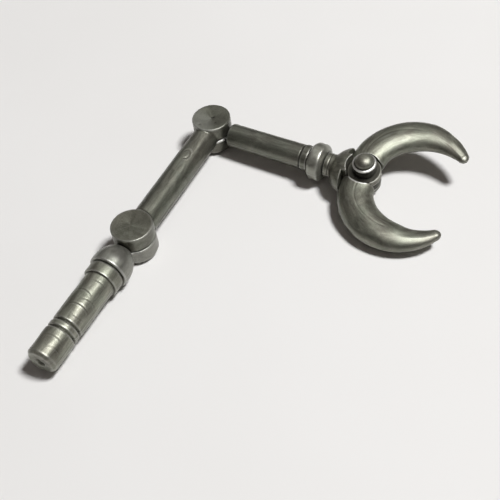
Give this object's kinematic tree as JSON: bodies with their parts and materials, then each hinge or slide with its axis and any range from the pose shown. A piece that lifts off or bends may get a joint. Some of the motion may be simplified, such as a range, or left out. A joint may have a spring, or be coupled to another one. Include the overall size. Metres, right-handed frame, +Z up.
{
  "type": "jointed toy claw arm",
  "caption": "Jointed toy arm with a plug-in peg, disc elbows, a turning wrist and a riveted claw of curved fingers.",
  "frame": {"origin": "middle of the footprint, on the surface that the arm lies on, in the pose with the elbows bent to 1 and 88 degrees", "axes": "+Z up, along both elbow axes; +X the longest side, from the peg towards the claw's side; +Y the other side"},
  "size_m": [0.1046, 0.0698, 0.0124],
  "materials": {
    "peg_plastic": "pearl silver-grey, satin, rubbed",
    "link_plastic": "pearl silver-grey with metal flake, soft gloss",
    "pin_plastic": "silver-grey, satin",
    "collar_plastic": "pearl silver-grey, soft gloss",
    "claw_plastic": "pearl silver-grey with flow marks, soft gloss",
    "rivet_plastic": "pearl silver-grey, soft gloss"
  },
  "bodies": {
    "base": {"base_peg": "peg_plastic"},
    "shoulder": {"shoulder_knuckle": "link_plastic"},
    "upper_arm": {"upper_arm": "link_plastic", "elbow_1_pin": "pin_plastic", "elbow_2_pin": "pin_plastic"},
    "forearm": {"forearm": "link_plastic", "wrist_collar": "collar_plastic"},
    "palm": {"palm": "claw_plastic", "claw_rivet": "rivet_plastic"},
    "front_finger": {"front_finger": "claw_plastic"},
    "rear_finger": {"rear_finger": "claw_plastic"}
  },
  "joints": [
    {"name": "shoulder_swivel", "type": "hinge", "parent": "base", "child": "shoulder", "pos_m": [-0.02823, -0.0021, 0.0048], "axis": [-0.5664, -0.8241, 0], "continuous": true},
    {"name": "elbow_1", "type": "hinge", "parent": "shoulder", "child": "upper_arm", "pos_m": [-0.02823, -0.0021, 0.0048], "axis": [0, 0, 1], "range_deg": [-110, 110]},
    {"name": "elbow_2", "type": "hinge", "parent": "upper_arm", "child": "forearm", "pos_m": [-0.00664, 0.03009, 0.0048], "axis": [0, 0, -1], "range_deg": [-203, 19]},
    {"name": "wrist_roll", "type": "hinge", "parent": "forearm", "child": "palm", "pos_m": [0.02758, 0.00523, 0.0048], "axis": [0.809, -0.5878, 0], "continuous": true},
    {"name": "front_finger_pivot", "type": "hinge", "parent": "palm", "child": "front_finger", "pos_m": [0.02758, 0.00523, 0.0048], "axis": [-0.1021, -0.1405, 0.9848], "range_deg": [0, 23]},
    {"name": "rear_finger_pivot", "type": "hinge", "parent": "palm", "child": "rear_finger", "pos_m": [0.02758, 0.00523, 0.0048], "axis": [-0.1021, -0.1405, 0.9848], "range_deg": [-23, 0]}
  ]
}
